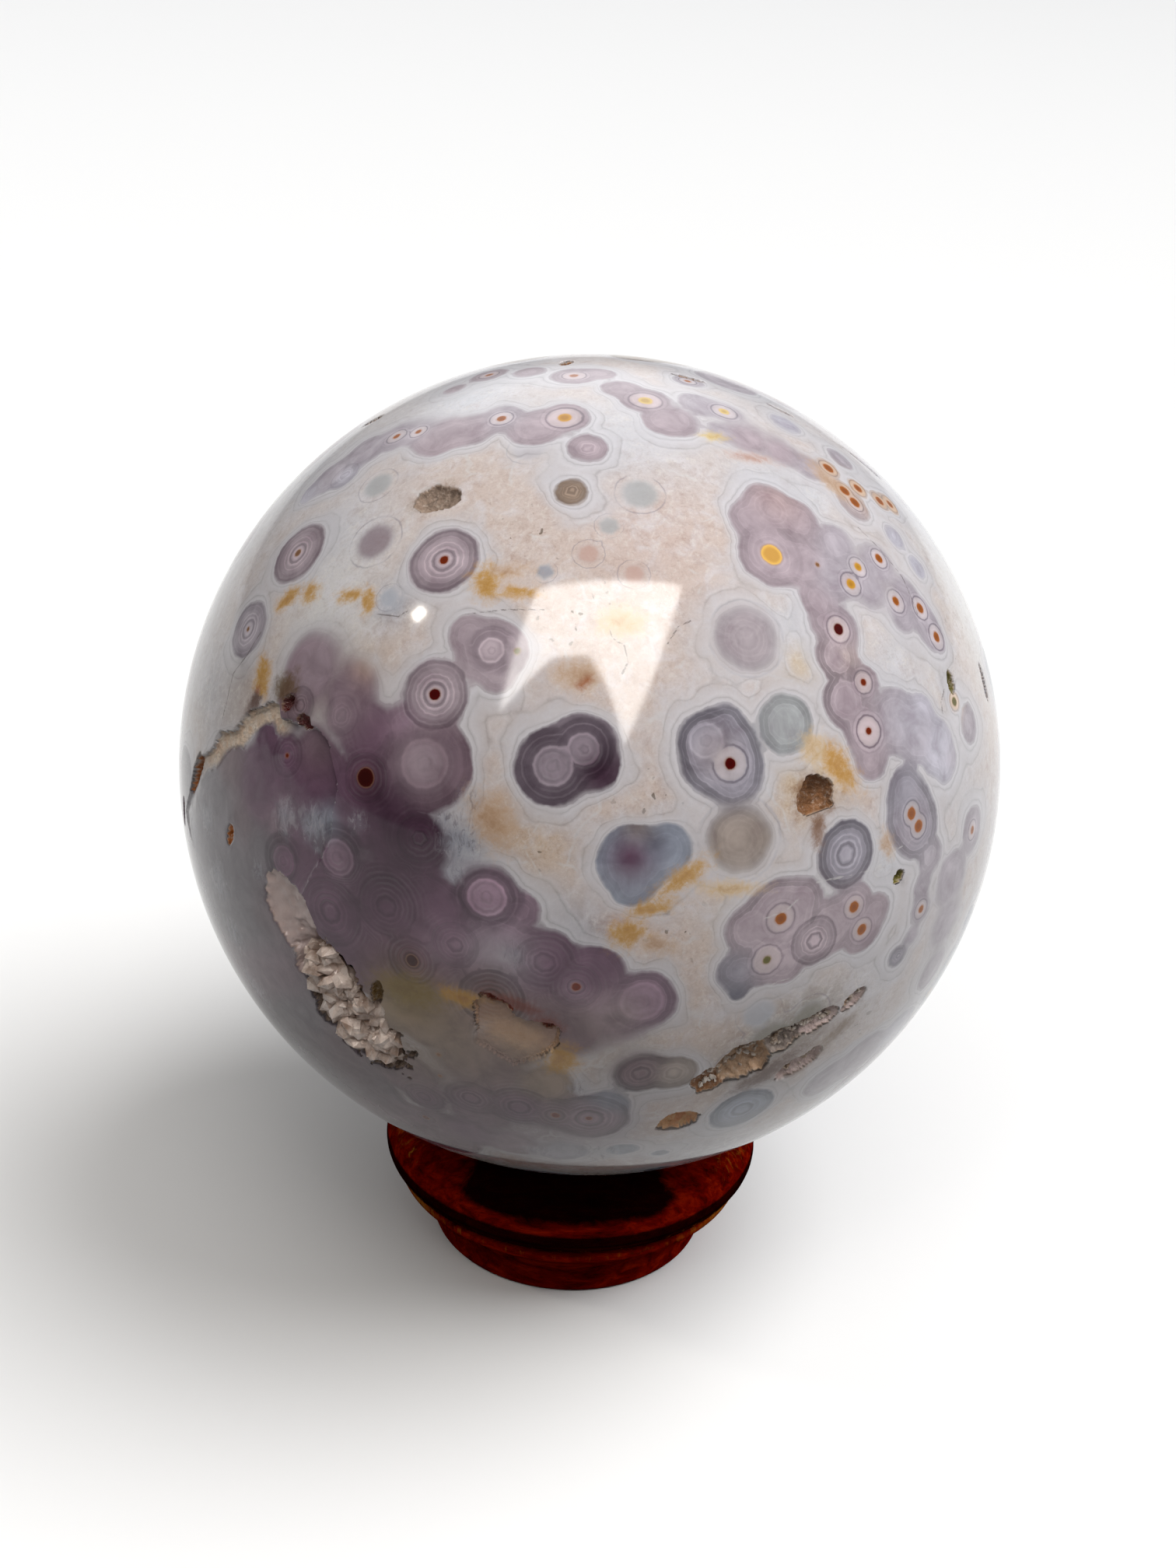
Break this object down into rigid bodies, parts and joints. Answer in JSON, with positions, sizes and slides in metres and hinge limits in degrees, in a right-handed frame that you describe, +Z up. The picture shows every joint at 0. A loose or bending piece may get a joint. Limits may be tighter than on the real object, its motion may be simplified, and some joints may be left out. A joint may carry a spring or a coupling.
{
  "type": "ocean jasper sphere on a wooden ring stand",
  "caption": "Polished ocean jasper sphere with orb markings, pits and a druzy hollow, resting on a small turned reddish-brown wooden ring stand.",
  "frame": {"origin": "centre of the stand's foot, on the surface that it stands on", "axes": "+Z up through the stand's axis and the ball's centre; the pictured face looks along -Y"},
  "size_m": [0.064, 0.064, 0.0752],
  "materials": {
    "jasper": "high polish",
    "druse": "sugary crystal faces",
    "stand_wood": "dark red-brown lacquer, glossy"
  },
  "bodies": {
    "root": {"jasper_sphere": "jasper", "vug_crystals": "druse", "ring_stand": "stand_wood"}
  },
  "joints": []
}
